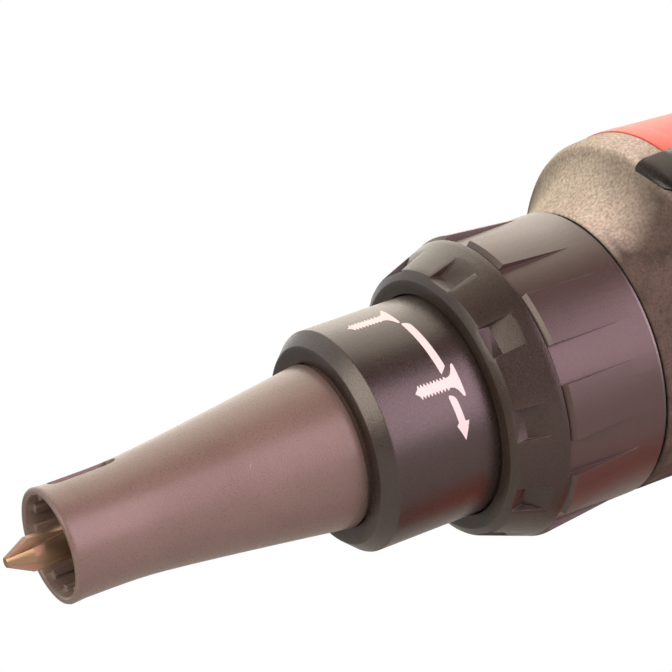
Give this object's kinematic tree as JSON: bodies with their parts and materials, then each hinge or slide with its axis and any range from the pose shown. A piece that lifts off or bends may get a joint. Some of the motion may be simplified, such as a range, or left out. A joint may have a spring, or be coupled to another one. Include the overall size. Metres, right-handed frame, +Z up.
{
  "type": "cordless screwdriver",
  "caption": "Pistol-grip cordless screwdriver with a tapered depth-stop nose, notched depth-adjusting collar, push-to-drive clutch and slide-on battery.",
  "frame": {"origin": "middle of the battery's underside, the face that the tool stands on", "axes": "+X forward out of the nose along the spindle, +Y to the tool's left, +Z up"},
  "size_m": [0.2352, 0.0764, 0.2188],
  "materials": {
    "red_plastic": "fine moulded texture",
    "grey_rubber": "grainy overmould",
    "black_rubber": "smooth",
    "nose_plastic": "satin",
    "sleeve_plastic": "fine satin",
    "collar_plastic": "satin",
    "black_plastic": "fine moulded texture",
    "bit_steel": "phosphated",
    "bright_steel": "ground",
    "dark_steel": "oiled",
    "cast_alloy": "die cast",
    "bronze": "machined",
    "copper": "enamelled",
    "circuit_board": "solder mask",
    "cell_sleeve": "heat-shrunk sleeve",
    "clear_lens": "clear"
  },
  "bodies": {
    "tool": {"gear_case": "cast_alloy", "gear_case_plate": "cast_alloy", "gear_case_screws": "dark_steel", "gear_bearing": "bright_steel", "gear_washer": "bright_steel", "spindle_bush": "bronze", "spindle_seal": "black_rubber", "collar_circlip": "dark_steel", "collar_washer": "bright_steel", "motor_front_bearing": "bright_steel", "motor_rear_bearing": "bright_steel", "stator_core": "dark_steel", "stator_windings": "copper", "sensor_board": "circuit_board", "housing_left": "red_plastic", "housing_right": "red_plastic", "front_boot_left": "grey_rubber", "front_boot_right": "grey_rubber", "grip_pad_left": "grey_rubber", "grip_pad_right": "grey_rubber", "housing_screws": "dark_steel", "clip_inserts": "bronze", "switch_body": "black_plastic", "control_board": "circuit_board", "lamp_lens": "clear_lens", "terminal_block": "black_plastic", "terminal_blades": "copper", "trigger_spring": "dark_steel"},
    "gear": {"drive_gear": "dark_steel", "clutch_spring": "dark_steel"},
    "spindle": {"spindle": "bright_steel", "bit_magnet": "bright_steel", "phillips_bit": "bit_steel"},
    "rotor": {"motor_pinion": "dark_steel", "rotor_shaft": "bright_steel", "rotor_core": "dark_steel", "cooling_fan": "black_plastic"},
    "adjuster": {"adjuster_ring": "collar_plastic", "grip_collar": "collar_plastic"},
    "depth_drum": {"depth_sleeve": "sleeve_plastic"},
    "nose": {"nose_cone": "nose_plastic", "nose_o_ring": "black_rubber"},
    "trigger": {"trigger": "black_plastic"},
    "shuttle": {"direction_shuttle": "black_plastic"},
    "lock_button": {"lock_on_button": "black_plastic"},
    "battery": {"battery_top": "black_plastic", "battery_bottom": "black_plastic", "battery_screws": "dark_steel", "battery_cells": "cell_sleeve", "cell_holder": "black_plastic", "battery_board": "circuit_board", "battery_clips": "copper", "latch_spring_left": "dark_steel", "latch_spring_right": "dark_steel"},
    "left_latch": {"latch_left": "black_plastic"},
    "right_latch": {"latch_right": "black_plastic"},
    "gauge": {"gauge_button": "black_plastic"}
  },
  "joints": [
    {"name": "gear_spin", "type": "hinge", "parent": "tool", "child": "gear", "pos_m": [0, 0, 0.181], "axis": [1, 0, 0], "continuous": true},
    {"name": "motor_spin", "type": "hinge", "parent": "tool", "child": "rotor", "pos_m": [0, 0, 0.193], "axis": [1, 0, 0], "continuous": true},
    {"name": "spindle_push", "type": "slide", "parent": "gear", "child": "spindle", "axis": [-1, 0, 0], "range_m": [0, 0.0025], "stiffness_N_per_m": 1500, "deforming": ["clutch_spring"]},
    {"name": "depth_turn", "type": "hinge", "parent": "tool", "child": "adjuster", "pos_m": [0, 0, 0.181], "axis": [1, 0, 0], "range_deg": [-180, 180]},
    {"name": "depth_slide", "type": "slide", "parent": "tool", "child": "depth_drum", "axis": [1, 0, 0], "range_m": [-0.004, 0.004]},
    {"name": "nose_release", "type": "slide", "parent": "depth_drum", "child": "nose", "axis": [1, 0, 0], "range_m": [0, 0.04]},
    {"name": "trigger_pull", "type": "slide", "parent": "tool", "child": "trigger", "axis": [-1, 0, 0], "range_m": [0, 0.007], "stiffness_N_per_m": 900, "deforming": ["trigger_spring"]},
    {"name": "direction_shift", "type": "slide", "parent": "tool", "child": "shuttle", "axis": [0, 1, 0], "range_m": [-0.003, 0.003]},
    {"name": "lock_press", "type": "slide", "parent": "tool", "child": "lock_button", "axis": [0, -1, 0], "range_m": [0, 0.0025], "stiffness_N_per_m": 1200},
    {"name": "battery_release", "type": "slide", "parent": "tool", "child": "battery", "axis": [1, 0, 0], "range_m": [0, 0.1]},
    {"name": "latch_press_left", "type": "slide", "parent": "battery", "child": "left_latch", "axis": [0, -1, 0], "range_m": [0, 0.003], "stiffness_N_per_m": 1500, "deforming": ["latch_spring_left"]},
    {"name": "latch_press_right", "type": "slide", "parent": "battery", "child": "right_latch", "axis": [0, 1, 0], "range_m": [0, 0.003], "stiffness_N_per_m": 1500, "deforming": ["latch_spring_right"]},
    {"name": "gauge_press", "type": "slide", "parent": "battery", "child": "gauge", "axis": [-1, 0, 0], "range_m": [0, 0.0008], "stiffness_N_per_m": 1500}
  ],
  "couplings": [
    {"joint": "motor_spin", "follows": "gear_spin", "ratio": -3},
    {"joint": "depth_turn", "follows": "depth_slide", "rad_per_m": 785.3}
  ]
}
